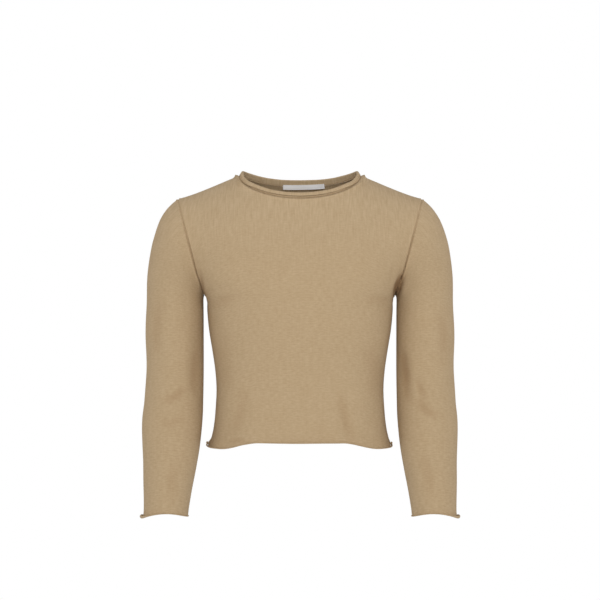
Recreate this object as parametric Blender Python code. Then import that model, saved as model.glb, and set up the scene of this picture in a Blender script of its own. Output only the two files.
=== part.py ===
"""Cropped fine-knit sweater, kept hollow as if it were worn.

Z is up, the front faces -Y and the wearer's left is +X. The origin lies midway between the two
points where the shoulder seams meet the neckband, which is where the shoulders carry it.
Sizes are in millimetres and turned into metres as each mesh is made.

The garment is the same on both sides, so each panel is worked out from its centre line to the
left (+X) and mirrored. The side and shoulder seams lie in the plane y = 0.
"""
from collections import namedtuple
from math import cos, pi, radians, sin

import bmesh
import bpy
from mathutils import Vector

MM = 0.001
FRONT = -1
BACK = 1
ACROSS_SEAM = Vector((0, 1, 0))

WALL = 1.6              # the knit, with the loft of its stitches
SEAM_GAP = 0.3          # between two pieces where they are sewn
HEM_ROLL = 1.6          # radius of a raw edge's curl, on its inner side
HEM_TURN = 170          # degrees that a raw edge curls round
KNIT_COLOUR = (0.44, 0.33, 0.215)
KNIT_ROUGHNESS = 0.9
LABEL_COLOUR = (0.55, 0.53, 0.51)
LABEL_ROUGHNESS = 0.7
SHARP_ANGLE = 50        # degrees between two faces past which their edge shows
HALVINGS = 40           # steps of a search, each of which halves its range

# A torso row's level is its distance under the underarm, below 0, and degrees round the armhole
# above 0: 90 is halfway up and 180 is the shoulder ridge, which the neck hole cuts short. Front
# and back are where the row's middle lies, and reach is how far the row runs straight out.
Centre = namedtuple("Centre", "level height front back reach")
CENTRE_LINE = (
    Centre(-224, -410.5, -97, 86, 0.60),        # hem
    Centre(-214, -401, -96, 84, 0.60),
    Centre(-201, -388, -94, 82, 0.60),
    Centre(-180, -367, -91, 78, 0.60),
    Centre(-148, -335, -90, 75, 0.60),          # waist
    Centre(-117, -304, -93, 76, 0.60),
    Centre(-86, -273, -98, 80, 0.60),
    Centre(-53, -240, -104, 86, 0.60),
    Centre(-23, -210, -108, 91, 0.60),
    Centre(0, -187, -109, 94, 0.60),            # underarm
    Centre(30, -157, -107.5, 96, 0.60),
    Centre(60, -127, -103, 96, 0.60),
    Centre(90, -95, -93.5, 92, 0.59),
    Centre(120, -56, -78, 80, 0.55),
    Centre(135, -30, -66, 67, 0.50),
    Centre(150, -3, -49, 50, 0.42),
    Centre(165, 17.5, -26, 26, 0.35),
    Centre(180, 23.2, 0, 0, 0.32),              # shoulder ridge
    Centre(195, 17.5, 26, -26, 0.35),           # over the ridge, so that it stays round
)
Side = namedtuple("Side", "level half_width")
SIDE_SEAM = (
    Side(-224, 140.0),
    Side(-214, 137.8),
    Side(-201, 134.8),
    Side(-180, 132.0),
    Side(-148, 130.0),
    Side(-117, 132.0),
    Side(-86, 136.5),
    Side(-53, 141.8),
    Side(-23, 144.5),
    Side(-9, 144.4),
    Side(-3, 146.0),
    Side(0, 149.5),
)
# How a row meets the side: its turn from straight across, how far that holds, and its fall.
Meeting = namedtuple("Meeting", "level turn reach fall")
ARMHOLE_MEETING = (
    Meeting(-30, 90, 64, 0.00),
    Meeting(0, 90, 64, 0.00),
    Meeting(30, 80, 58, 0.02),
    Meeting(60, 56, 54, 0.06),
    Meeting(90, 30, 52, 0.10),
    Meeting(120, 15, 52, 0.15),
    Meeting(150, 5, 52, 0.19),
    Meeting(180, 0, 51, 0.22),
    Meeting(210, 5, 52, 0.19),
)
UNDERARM = 0
CHEST = 90
RIDGE = 180

# The sleeve is a loft of flat rings. The first is the armhole, and they fan round the underarm
# until they lie level.
Ring = namedtuple("Ring", "outer_x outer_z inner_x inner_z front back")
SLEEVE = (
    Ring(190.0, -37.4, 149.5, -187.0, -52, 54),     # armhole
    Ring(199.5, -45, 149.9, -188.0, -53, 55),
    Ring(208.5, -55, 150.3, -189.5, -53.5, 55.5),
    Ring(217.8, -70, 150.6, -192.0, -53.5, 55.5),
    Ring(226.0, -91, 150.8, -195.5, -53, 55),
    Ring(233.0, -117, 150.8, -200.0, -52, 54),
    Ring(238.0, -158, 150.6, -210.0, -50, 53),
    Ring(239.2, -205, 150.5, -230.0, -48, 53),
    Ring(241.0, -255, 150.5, -262.0, -46, 53),
    Ring(239.7, -305, 150.5, -305.0, -45, 52),      # elbow
    Ring(242.4, -349, 151.0, -349.0, -48, 45),
    Ring(245.2, -380, 151.8, -380.0, -53, 37),
    Ring(244.6, -420, 155.4, -420.0, -59, 27),
    Ring(243.0, -455, 161.0, -455.0, -63, 18),
    Ring(242.1, -491, 167.6, -490.0, -66, 10),
    Ring(241.8, -529, 173.6, -527.0, -68, 5),       # cuff
)
CUFF_RISE = 7.8         # how far the front of the cuff rides above its sides
CUFF_RISE_BACK = 0.5    # of that, behind
CUFF_RISE_START = -430

HEM_DIP = {FRONT: 11.2, BACK: 8.0}      # how far the hem hangs lower at its sides
HEM_DIP_START = -330
HEM_DIP_FROM = 0.45                     # of the half width
HEM_DIP_TO = 0.87

NECK_HALF_WIDTH = 93
NECK_HEIGHT = {FRONT: -37.5, BACK: -14.6}
NECK_CURVE = {FRONT: 2.0, BACK: 2.7}    # 2 is a parabola; more is flatter in the middle
NECK_ROUND = {FRONT: 0.55, BACK: 1.0}   # less than 1 is rounder towards the neck points

BAND_RISE = 5.5         # from the seam to the start of the roll
BAND_ROLL = 1.3
BAND_TIP = 2.2          # how near the rolled edge comes back to the seam
BAND_ROLL_STEPS = 5
LEAN_FRONT = 38         # degrees that the neckband leans in from upright
LEAN_SIDE = 33
LEAN_BACK = 8

LABEL_FROM = -27        # its two ends, across the back neck
LABEL_TO = 39
LABEL_ABOVE = 0.7       # of the band's plain rise
LABEL_BELOW = 0.4       # of the back's first row under the seam
LABEL_WALL = 1.0
LABEL_GAP = 0.35
LABEL_END_CLEAR = 2     # between its ends and the nearest of the seam's points

NECK_COLUMNS = 7        # from the centre line to the neck point
SHOULDER_COLUMNS = 5    # from the neck point to the armhole
ARMHOLE_STEPS = 12      # from the underarm to the shoulder point
LOWER_LEVELS = (-224, -214, -200, -176, -145, -112, -80, -50, -26, -9)
ROLL_STEPS = 3


def spline(table, column, at):
    """Read a column of a table at a level, on a smooth curve through its rows."""
    levels = [row.level for row in table]
    values = [getattr(row, column) for row in table]
    last = len(levels) - 1
    here = 0
    while here < last - 1 and at > levels[here + 1]:
        here += 1

    def slope(index):
        low = max(index - 1, 0)
        high = min(index + 1, last)
        return (values[high] - values[low]) / (levels[high] - levels[low])

    span = levels[here + 1] - levels[here]
    t = (at - levels[here]) / span
    start = (2 * t**3 - 3 * t**2 + 1) * values[here] + (t**3 - 2 * t**2 + t) * span * slope(here)
    end = (3 * t**2 - 2 * t**3) * values[here + 1] + (t**3 - t**2) * span * slope(here + 1)
    return start + end


def ease(value, low, high):
    """Rise smoothly from 0 at low to 1 at high."""
    t = min(max((value - low) / (high - low), 0), 1)
    return t * t * (3 - 2 * t)


def halve(is_low, low, high):
    """Find where a test stops holding."""
    for _ in range(HALVINGS):
        middle = (low + high) / 2
        if is_low(middle):
            low = middle
        else:
            high = middle
    return low


def bezier(a, b, c, d, t):
    return a * (1 - t)**3 + b * 3 * (1 - t)**2 * t + c * 3 * (1 - t) * t**2 + d * t**3


def ring_point(ring, angle):
    """A point of a sleeve ring; the angle is 0 under the arm, 90 in front and 180 on top."""
    inner = Vector((ring.inner_x, 0, ring.inner_z))
    outer = Vector((ring.outer_x, 0, ring.outer_z))
    point = inner.lerp(outer, (1 - cos(radians(angle))) / 2)
    middle = (ring.front + ring.back) / 2
    reach = (ring.back - ring.front) / 2
    point.y = middle - reach * sin(radians(angle))
    rise = CUFF_RISE * ease(-point.z, -CUFF_RISE_START, -SLEEVE[-1].outer_z)
    point.z += rise * sin(radians(angle))**2 * (1 if angle < 180 else CUFF_RISE_BACK)
    return point


def armhole_point(side, angle):
    """A point of the armhole, whose front and back halves meet at y = 0."""
    point = ring_point(SLEEVE[0], angle)
    point.y = (SLEEVE[0].front if side == FRONT else SLEEVE[0].back) * sin(radians(angle))
    return point


def torso_point(side, across, level):
    """A point of the torso: across runs from 0 at the centre line to 1 at the side."""
    depth = spline(CENTRE_LINE, "front" if side == FRONT else "back", level)
    height = spline(CENTRE_LINE, "height", level)
    if level <= UNDERARM:
        end = Vector((spline(SIDE_SEAM, "half_width", level), 0, height))
    else:
        end = armhole_point(side, level)
    turn = radians(spline(ARMHOLE_MEETING, "turn", max(level, UNDERARM)))
    fall = spline(ARMHOLE_MEETING, "fall", max(level, UNDERARM)) * cos(turn)
    inward = Vector((-cos(turn), side * sin(turn), fall))
    handle = end + inward * spline(ARMHOLE_MEETING, "reach", max(level, UNDERARM))
    centre = Vector((0, depth, height))
    lead = Vector((spline(CENTRE_LINE, "reach", level) * end.x, depth, height))
    point = bezier(centre, lead, handle, end, across)
    droop = ease(point.x / end.x, HEM_DIP_FROM, HEM_DIP_TO)
    point.z -= HEM_DIP[side] * droop * ease(-height, -HEM_DIP_START, -CENTRE_LINE[0].height)
    return point


NECK_ACROSS = halve(lambda across: torso_point(FRONT, across, RIDGE).x < NECK_HALF_WIDTH, 0, 1)
NECK_POINT = torso_point(FRONT, NECK_ACROSS, RIDGE)


def neckline_level(side, across):
    """The level at which a column meets the neckline."""
    def below(level):
        point = torso_point(side, across, level)
        width = min(point.x / NECK_HALF_WIDTH, 1)
        rise = 1 - (1 - width**NECK_CURVE[side])**NECK_ROUND[side]
        return point.z < NECK_HEIGHT[side] + (NECK_POINT.z - NECK_HEIGHT[side]) * rise

    return halve(below, CHEST, RIDGE)


def column_places():
    """How far across each column of a panel lies; they are closest at the neck point."""
    places = [NECK_ACROSS * sin(pi / 2 * step / NECK_COLUMNS) for step in range(NECK_COLUMNS + 1)]
    for step in range(1, SHOULDER_COLUMNS + 1):
        places.append(NECK_ACROSS + (1 - NECK_ACROSS) * step / SHOULDER_COLUMNS)
    return places


def panel_points(side):
    """Half of the front or the back, in rows from the hem to the neckline."""
    levels = list(LOWER_LEVELS)
    levels += [RIDGE * step / ARMHOLE_STEPS for step in range(ARMHOLE_STEPS + 1)]
    rows = [[] for _ in levels]
    for column, across in enumerate(column_places()):
        top = neckline_level(side, across) if column < NECK_COLUMNS else RIDGE
        for row, level in zip(rows, levels):
            # Under the neck the rows above the underarm close up.
            row.append(torso_point(side, across, level * top / RIDGE if level > 0 else level))
    return rows


def sleeve_points():
    """The left sleeve, in rings from the armhole to the cuff; the last point repeats the first."""
    steps = 2 * ARMHOLE_STEPS
    armhole = [armhole_point(FRONT, 360 * step / steps) for step in range(ARMHOLE_STEPS + 1)]
    for step in range(ARMHOLE_STEPS + 1, steps + 1):
        armhole.append(armhole_point(BACK, 360 - 360 * step / steps))
    rings = [armhole]
    for ring in SLEEVE[1:]:
        rings.append([ring_point(ring, 360 * step / steps) for step in range(steps + 1)])
    return rings


def run_at(points, index, closed=False):
    """The direction of a line of points at one of them."""
    last = len(points) - 1
    if closed and index in (0, last):
        return (points[1] - points[last - 1]).normalized()
    return (points[min(index + 1, last)] - points[max(index - 1, 0)]).normalized()


class Cloth:
    """A piece of knit as a grid of points on its outer side, with an outward direction at each."""

    def __init__(self, points, facing, closed):
        self.outer = points
        self.closed = closed
        self.pushes = {}
        self.way = []
        columns = list(zip(*points))
        for row, line in enumerate(points):
            ways = []
            for column in range(len(line)):
                along = run_at(line, column, closed)
                if column == 0 and not closed:
                    along = Vector((1, 0, 0))
                ways.append((along.cross(run_at(columns[column], row)) * facing).normalized())
            self.way.append(ways)

    def push(self, row, column, shift):
        """Move a seam point, and the point behind it, away from the seam."""
        before = self.pushes.get((row, column), Vector((0, 0, 0)))
        self.pushes[row, column] = before + shift

    def pull_back(self, row, column, run, toward):
        """Leave half the seam gap, square to the seam and to the wall, on this piece's side."""
        shift = self.way[row][column].cross(run).normalized() * (SEAM_GAP / 2)
        self.push(row, column, shift if shift.dot(toward) > 0 else -shift)

    def make_wall(self):
        self.inner = []
        for line, ways in zip(self.outer, self.way):
            self.inner.append([point - way * WALL for point, way in zip(line, ways)])
        for (row, column), shift in self.pushes.items():
            self.outer[row][column] = self.outer[row][column] + shift
            self.inner[row][column] = self.inner[row][column] + shift

    def curl_edge(self, at_start):
        """Roll the raw edge outward, before the first row or after the last."""
        edge = 0 if at_start else -1
        inside = 1 if at_start else -2
        rolled = []
        for column, point in enumerate(self.outer[edge]):
            way = self.way[edge][column]
            beyond = point - self.outer[inside][column]
            down = (beyond - way * beyond.dot(way)).normalized()
            middle = point + way * HEM_ROLL
            arms = []
            for step in range(1, ROLL_STEPS + 1):
                angle = radians(HEM_TURN * step / ROLL_STEPS)
                arms.append(down * sin(angle) - way * cos(angle))
            rolled.append((middle, arms))
        for step in range(ROLL_STEPS):
            outer = [middle + arms[step] * HEM_ROLL for middle, arms in rolled]
            inner = [middle + arms[step] * (HEM_ROLL + WALL) for middle, arms in rolled]
            place = 0 if at_start else len(self.outer)
            self.outer.insert(place, outer)
            self.inner.insert(place, inner)


def share_way(run, first, second):
    """Give two pieces one outward direction at a seam point, square to the seam."""
    total = first[0].way[first[1]][first[2]] + second[0].way[second[1]][second[2]]
    total = (total - run * total.dot(run)).normalized()
    for piece, row, column in (first, second):
        piece.way[row][column] = total.copy()


def sew_sides(front, back, armhole_row):
    """The side seam, from the hem to the underarm."""
    for row in range(armhole_row + 1):
        share_way(ACROSS_SEAM, (front, row, -1), (back, row, -1))
    for row in range(armhole_row + 1):
        front.push(row, len(front.outer[0]) - 1, -ACROSS_SEAM * SEAM_GAP / 2)
        back.push(row, len(front.outer[0]) - 1, ACROSS_SEAM * SEAM_GAP / 2)


def sew_shoulder(front, back):
    """The shoulder seam, from the neck point to the armhole."""
    top = len(front.outer) - 1
    for column in range(NECK_COLUMNS, len(front.outer[0])):
        share_way(ACROSS_SEAM, (front, top, column), (back, top, column))
        front.push(top, column, -ACROSS_SEAM * SEAM_GAP / 2)
        back.push(top, column, ACROSS_SEAM * SEAM_GAP / 2)


def sew_sleeve(front, back, sleeve, armhole_row):
    """The armhole seam, all round."""
    last = len(front.outer[0]) - 1
    around = 2 * ARMHOLE_STEPS
    for step in range(ARMHOLE_STEPS + 1):
        row = armhole_row + step
        if step in (0, ARMHOLE_STEPS):
            # Three pieces meet here, and the two panels already agree.
            share_way(ACROSS_SEAM, (front, row, last), (sleeve, 0, step))
            back.way[row][last] = front.way[row][last].copy()
            meetings = ((front, step), (back, step))
        else:
            meetings = ((front, step), (back, around - step))
        for panel, place in meetings:
            run = ACROSS_SEAM
            if step not in (0, ARMHOLE_STEPS):
                run = run_at(sleeve.outer[0], place, True)
                share_way(run, (panel, row, last), (sleeve, 0, place))
            panel.pull_back(row, last, run, panel.outer[row][last - 1] - panel.outer[row][last])
            if (0, place) not in sleeve.pushes:
                sleeve.pull_back(0, place, run, sleeve.outer[1][place] - sleeve.outer[0][place])
    sleeve.way[0][around] = sleeve.way[0][0].copy()
    sleeve.push(0, around, sleeve.pushes[0, 0])


def band_frame(points, index):
    """The neckband's own directions at a point of the neckline: along it, up and outward."""
    if index in (0, len(points) - 1):
        run = Vector((1 if index == 0 else -1, 0, 0))
    else:
        run = run_at(points, index)
    plan = Vector((run.y, -run.x, 0)).normalized()
    front = max(-plan.y, 0)**2
    back = max(plan.y, 0)**2
    lean = radians(LEAN_FRONT * front + LEAN_BACK * back + LEAN_SIDE * (1 - front - back))
    rise = Vector((0, 0, cos(lean))) - plan * sin(lean)
    outward = run.cross(rise).normalized()
    return run, outward.cross(run).normalized(), outward


def band_section():
    """The band's section as (rise, outward) pairs, for its outer side and its neck side."""
    section = [((BAND_RISE / 2, 0), (BAND_RISE / 2, -WALL))]
    for step in range(BAND_ROLL_STEPS + 1):
        angle = pi * step / BAND_ROLL_STEPS
        pair = []
        for radius in (BAND_ROLL, BAND_ROLL + WALL):
            pair.append((BAND_RISE + radius * sin(angle), BAND_ROLL - radius * cos(angle)))
        section.append(pair)
    section.append(((BAND_TIP, 2 * BAND_ROLL), (BAND_TIP, 2 * BAND_ROLL + WALL)))
    return section


def sew_neckband(front, back):
    """Half of the neckband on the neckline: its outer and inner points, row by row."""
    top = len(front.outer) - 1
    places = [(front, column) for column in range(NECK_COLUMNS + 1)]
    places += [(back, column) for column in range(NECK_COLUMNS - 1, -1, -1)]
    seam = [panel.outer[top][column].copy() for panel, column in places]
    frames = [band_frame(seam, index) for index in range(len(seam))]
    outer = [[]]
    inner = [[]]
    for (panel, column), point, (run, rise, outward) in zip(places, seam, frames):
        way = panel.way[top][column] + outward
        way = (way - run * way.dot(run)).normalized()
        sharing = (front, back) if column == NECK_COLUMNS else (panel,)
        for sharer in sharing:
            sharer.way[top][column] = way.copy()
            toward = sharer.outer[top - 1][column] - point
            sharer.pull_back(top, column, run, toward)
        shift = way.cross(run).normalized() * (SEAM_GAP / 2)
        shift = shift if shift.dot(rise) > 0 else -shift
        outer[0].append(point + shift)
        inner[0].append(point - way * WALL + shift)
    for pair in band_section():
        for rows, (up, out) in zip((outer, inner), pair):
            line = []
            for point, (_, rise, outward) in zip(seam, frames):
                line.append(point + rise * up + outward * out)
            rows.append(line)
    return outer, inner


def mirror(point):
    return Vector((-point.x, point.y, point.z))


def mirror_all(lines):
    return [[mirror(point) for point in line] for line in lines]


def whole_panel(half):
    return [[mirror(point) for point in reversed(line[1:])] + line for line in half]


def whole_ring(half):
    return [line + [mirror(point) for point in reversed(line[:-1])] for line in half]


def at_width(line, x):
    """The point of a line at a given x, on the straight run between two of its points."""
    for one, other in zip(line, line[1:]):
        if min(one.x, other.x) <= x <= max(one.x, other.x):
            return one.lerp(other, (x - one.x) / (other.x - one.x))
    raise ValueError("the line doesn't reach that far")


def label_points(band_inner, back_inner):
    """The woven label, laid over the neck seam inside the back, on the knit's own points."""
    seam, half_up, plain_top = [[point for point in line if point.y > 0] for line in band_inner[:3]]
    low = LABEL_FROM + LABEL_END_CLEAR
    high = LABEL_TO - LABEL_END_CLEAR
    widths = [LABEL_FROM] + sorted(point.x for point in seam if low < point.x < high) + [LABEL_TO]
    near = []
    far = []
    for one, other, part in (
        (back_inner[-2], back_inner[-1], 1 - LABEL_BELOW),
        (seam, half_up, 0),
        (half_up, plain_top, 2 * LABEL_ABOVE - 1),
    ):
        near_line = []
        far_line = []
        for x in widths:
            point = at_width(one, x).lerp(at_width(other, x), part)
            inward = Vector((-point.x, -NECK_HALF_WIDTH, 0)).normalized()
            near_line.append(point + inward * LABEL_GAP)
            far_line.append(point + inward * (LABEL_GAP + LABEL_WALL))
        near.append(near_line)
        far.append(far_line)
    return far, near


def material(name, colour, roughness):
    made = bpy.data.materials.new(name)
    made.use_nodes = True
    shader = made.node_tree.nodes["Principled BSDF"]
    shader.inputs["Base Color"].default_value = (*colour, 1)
    shader.inputs["Roughness"].default_value = roughness
    shader.inputs["Metallic"].default_value = 0
    return made


def place_points(verts, points, row_tag, column_tag):
    for vert in verts:
        vert.co = points[vert[row_tag]][vert[column_tag]] * MM


def make_piece(name, outer, inner, closed, colour, roughness):
    """Lay a grid on the outer points and extrude it to the inner ones: one closed wall."""
    rows = len(outer) - 1
    columns = len(outer[0]) - 1
    bm = bmesh.new()
    row_tag = bm.verts.layers.int.new("row")
    column_tag = bm.verts.layers.int.new("column")
    bmesh.ops.create_grid(bm, x_segments=columns, y_segments=rows, size=0.5)
    for vert in bm.verts:
        vert[column_tag] = round((vert.co.x + 0.5) * columns)
        vert[row_tag] = round((vert.co.y + 0.5) * rows)
    place_points(bm.verts, outer, row_tag, column_tag)
    if closed:
        bmesh.ops.remove_doubles(bm, verts=bm.verts, dist=1e-7)
    made = bmesh.ops.extrude_face_region(bm, geom=bm.faces[:])
    behind = [item for item in made["geom"] if isinstance(item, bmesh.types.BMVert)]
    place_points(behind, inner, row_tag, column_tag)
    bmesh.ops.recalc_face_normals(bm, faces=bm.faces)
    mesh = bpy.data.meshes.new(name)
    bm.to_mesh(mesh)
    bm.free()
    mesh.materials.append(material(name, colour, roughness))
    mesh.shade_smooth()
    mesh.set_sharp_from_angle(angle=radians(SHARP_ANGLE))
    bpy.context.collection.objects.link(bpy.data.objects.new(name, mesh))


def build_sweater():
    front = Cloth(panel_points(FRONT), 1, False)
    back = Cloth(panel_points(BACK), -1, False)
    sleeve = Cloth(sleeve_points(), -1, True)
    armhole_row = len(LOWER_LEVELS)
    sew_sides(front, back, armhole_row)
    sew_shoulder(front, back)
    sew_sleeve(front, back, sleeve, armhole_row)
    band_outer, band_inner = sew_neckband(front, back)
    for piece, raw_at_start in ((front, True), (back, True), (sleeve, False)):
        piece.make_wall()
        piece.curl_edge(raw_at_start)

    knit = (KNIT_COLOUR, KNIT_ROUGHNESS)
    for name, piece in (("front", front), ("back", back)):
        make_piece(name, whole_panel(piece.outer), whole_panel(piece.inner), False, *knit)
    make_piece("sleeve_left", sleeve.outer, sleeve.inner, True, *knit)
    make_piece("sleeve_right", mirror_all(sleeve.outer), mirror_all(sleeve.inner), True, *knit)
    band_outer = whole_ring(band_outer)
    band_inner = whole_ring(band_inner)
    make_piece("neckband", band_outer, band_inner, True, *knit)
    label = label_points(band_inner, whole_panel(back.inner))
    make_piece("neck_label", *label, False, LABEL_COLOUR, LABEL_ROUGHNESS)


for old in list(bpy.data.objects):
    bpy.data.objects.remove(old, do_unlink=True)
build_sweater()
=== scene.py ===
"""How the cropped fine-knit sweater looks, laid over the fixed frame.

Z is up, the front faces -Y and the wearer's left is +X. Sizes are in millimetres and turned into
metres as each mesh is made. The cloth follows the same measured sections as the solids that it
replaces, drawn finer, with its creases, seams, stitches and curled edges added.
"""
from collections import namedtuple
from math import cos, exp, pi, radians, sin

import bmesh
import bpy
import numpy as np
from mathutils import Matrix, Vector


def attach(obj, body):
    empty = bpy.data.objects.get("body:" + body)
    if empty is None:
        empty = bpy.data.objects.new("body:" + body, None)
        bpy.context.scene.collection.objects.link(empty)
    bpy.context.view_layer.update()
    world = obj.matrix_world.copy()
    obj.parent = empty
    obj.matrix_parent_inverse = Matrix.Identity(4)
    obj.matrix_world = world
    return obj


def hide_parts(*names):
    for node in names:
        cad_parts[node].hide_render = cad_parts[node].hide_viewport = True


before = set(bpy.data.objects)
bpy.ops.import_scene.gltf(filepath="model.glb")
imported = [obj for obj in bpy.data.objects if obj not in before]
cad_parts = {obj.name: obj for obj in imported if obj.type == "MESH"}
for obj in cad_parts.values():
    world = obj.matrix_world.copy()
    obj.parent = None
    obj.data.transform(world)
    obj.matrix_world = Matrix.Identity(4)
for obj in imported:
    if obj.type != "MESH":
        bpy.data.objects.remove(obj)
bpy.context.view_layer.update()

MM = 0.001
BODY = "root"
FRONT = -1
BACK = 1
DEPTH = {FRONT: "front", BACK: "back"}
ACROSS_SEAM = np.array((0.0, 1.0, 0.0))

# ---- The garment's own sections, as in the solids ------------------------------------------

WALL = 1.6

# A torso row's level is its distance under the underarm, below 0, and degrees round the armhole
# above 0: 90 is halfway up and 180 is the shoulder ridge, which the neck hole cuts short. Front
# and back are where the row's middle lies, and reach is how far the row runs straight out.
Centre = namedtuple("Centre", "level height front back reach")
CENTRE_LINE = (
    Centre(-224, -410.5, -97, 86, 0.60),        # hem
    Centre(-214, -401, -96, 84, 0.60),
    Centre(-201, -388, -94, 82, 0.60),
    Centre(-180, -367, -91, 78, 0.60),
    Centre(-148, -335, -90, 75, 0.60),          # waist
    Centre(-117, -304, -93, 76, 0.60),
    Centre(-86, -273, -98, 80, 0.60),
    Centre(-53, -240, -104, 86, 0.60),
    Centre(-23, -210, -108, 91, 0.60),
    Centre(0, -187, -109, 94, 0.60),            # underarm
    Centre(30, -157, -107.5, 96, 0.60),
    Centre(60, -127, -103, 96, 0.60),
    Centre(90, -95, -93.5, 92, 0.59),
    Centre(120, -56, -78, 80, 0.55),
    Centre(135, -30, -66, 67, 0.50),
    Centre(150, -3, -49, 50, 0.42),
    Centre(165, 17.5, -26, 26, 0.35),
    Centre(180, 23.2, 0, 0, 0.32),              # shoulder ridge
    Centre(195, 17.5, 26, -26, 0.35),           # over the ridge, so that it stays round
)
Side = namedtuple("Side", "level half_width")
SIDE_SEAM = (
    Side(-224, 140.0),
    Side(-214, 137.8),
    Side(-201, 134.8),
    Side(-180, 132.0),
    Side(-148, 130.0),
    Side(-117, 132.0),
    Side(-86, 136.5),
    Side(-53, 141.8),
    Side(-23, 144.5),
    Side(-9, 144.4),
    Side(-3, 146.0),
    Side(0, 149.5),
)
# How a row meets the side: its turn from straight across, how far that holds, and its fall.
Meeting = namedtuple("Meeting", "level turn reach fall")
ARMHOLE_MEETING = (
    Meeting(-30, 90, 64, 0.00),
    Meeting(0, 90, 64, 0.00),
    Meeting(30, 80, 58, 0.02),
    Meeting(60, 56, 54, 0.06),
    Meeting(90, 30, 52, 0.10),
    Meeting(120, 15, 52, 0.15),
    Meeting(150, 5, 52, 0.19),
    Meeting(180, 0, 51, 0.22),
    Meeting(210, 5, 52, 0.19),
)
HEM = -224
UNDERARM = 0
CHEST = 90
RIDGE = 180

# The sleeve is a loft of flat rings, the armhole first, numbered by their level.
Ring = namedtuple("Ring", "level outer_x outer_z inner_x inner_z front back")
SLEEVE = (
    Ring(0, 190.0, -37.4, 149.5, -187.0, -52, 54),      # armhole
    Ring(1, 199.5, -45, 149.9, -188.0, -53, 55),
    Ring(2, 208.5, -55, 150.3, -189.5, -53.5, 55.5),
    Ring(3, 217.8, -70, 150.6, -192.0, -53.5, 55.5),
    Ring(4, 226.0, -91, 150.8, -195.5, -53, 55),
    Ring(5, 233.0, -117, 150.8, -200.0, -52, 54),
    Ring(6, 238.0, -158, 150.6, -210.0, -50, 53),
    Ring(7, 239.2, -205, 150.5, -230.0, -48, 53),
    Ring(8, 241.0, -255, 150.5, -262.0, -46, 53),
    Ring(9, 239.7, -305, 150.5, -305.0, -45, 52),       # elbow
    Ring(10, 242.4, -349, 151.0, -349.0, -48, 45),
    Ring(11, 245.2, -380, 151.8, -380.0, -53, 37),
    Ring(12, 244.6, -420, 155.4, -420.0, -59, 27),
    Ring(13, 243.0, -455, 161.0, -455.0, -63, 18),
    Ring(14, 242.1, -491, 167.6, -490.0, -66, 10),
    Ring(15, 241.8, -529, 173.6, -527.0, -68, 5),       # cuff
)
CUFF_RISE = 7.8         # how far the front of the cuff rides above its sides
CUFF_RISE_BACK = 0.5    # of that, behind
CUFF_RISE_START = -430

HEM_DIP = {FRONT: 11.2, BACK: 8.0}      # how far the hem hangs lower at its sides
HEM_DIP_START = -330
HEM_DIP_FROM = 0.45                     # of the half width
HEM_DIP_TO = 0.87

NECK_HALF_WIDTH = 93
NECK_HEIGHT = {FRONT: -37.5, BACK: -14.6}
NECK_CURVE = {FRONT: 2.0, BACK: 2.7}    # 2 is a parabola; more is flatter in the middle
NECK_ROUND = {FRONT: 0.55, BACK: 1.0}   # less than 1 is rounder towards the neck points
LEAN_FRONT = 38         # degrees that the neckband leans in from upright
LEAN_SIDE = 33
LEAN_BACK = 8
HALVINGS = 40

# ---- How finely the cloth is drawn ----------------------------------------------------------

STEP = 2.8
FINE_STEPS = (0.4, 0.4, 0.4, 0.45, 0.5, 0.6, 0.8, 1.1, 1.5, 2.0)      # from a seam inward
ARMHOLE_HALF = 195      # length of half the armhole
SHOULDER = 100          # length of the shoulder seam
NECK_STEPS = 44         # columns from the centre line to the neck point
CURL_STEPS = 12
CREASE_STEPS = 9

# ---- Knit, seams and edges ------------------------------------------------------------------

WALE = 2.0              # width of a stitch
COURSE = 1.5            # height of a stitch
WALE_SAMPLES = 14       # along a row, to measure it

UNDERARM_SPREAD = 26    # how many levels are averaged at the underarm
UNDERARM_REACH = 45     # and how soon that ends above and below it

Seam = namedtuple("Seam", "groove width ridge ridge_at ridge_width")
SIDE_SEAMS = Seam(0.7, 1.0, 0.2, 2.4, 1.2)
SHOULDER_SEAMS = Seam(0.7, 1.0, 0.2, 2.6, 1.3)
ARMHOLE_BODY = Seam(1.1, 1.0, 0.65, 2.6, 1.2)
ARMHOLE_SLEEVE = Seam(1.1, 1.0, 1.0, 2.5, 1.4)
NECK_SEAM = Seam(1.4, 1.7, 1.6, 4.4, 1.4)
NECK_SIDE_SEAM = Seam(1.4, 2.2, 3.8, 6.2, 3.2)         # a welt beside the neck points
NECK_SIDE = 68          # how far out that starts
NECK_SINK = 3.2         # how far the seam sinks there, in front
ARMHOLE_FADE = 0.54     # at the underarm, where its groove is as deep as the side seam's
WELT_START = 1.5        # how far from one seam the welts beside the others begin

# A raw edge curls out: the radius of the curl, and the degrees that it turns.
Curl = namedtuple("Curl", "radius turn")
HEM_MIDDLE = Curl(1.3, 125)
HEM_CORNER = Curl(0.8, 275)
CUFF_PLAIN = Curl(1.2, 125)
CUFF_OUTSIDE = Curl(2.1, 240)
CUFF_INSIDE = Curl(0.9, 110)
CURL_TIGHTER = 0.2      # how much smaller its radius is at the edge
LIP_FROM = 0.7          # where along the curl the wall starts to round off
LIP_LEAST = 0.06
HEM_FLARE = 1.0         # how far the cloth flares out above the curl
CORNER_FLARE = {-1: 2.4, 1: 0.24}       # more at the wearer's right, -1, than at the left, 1
CORNER_REACH = 8
CUFF_FLARE = 0.5
FLARE_REACH = 6

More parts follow.
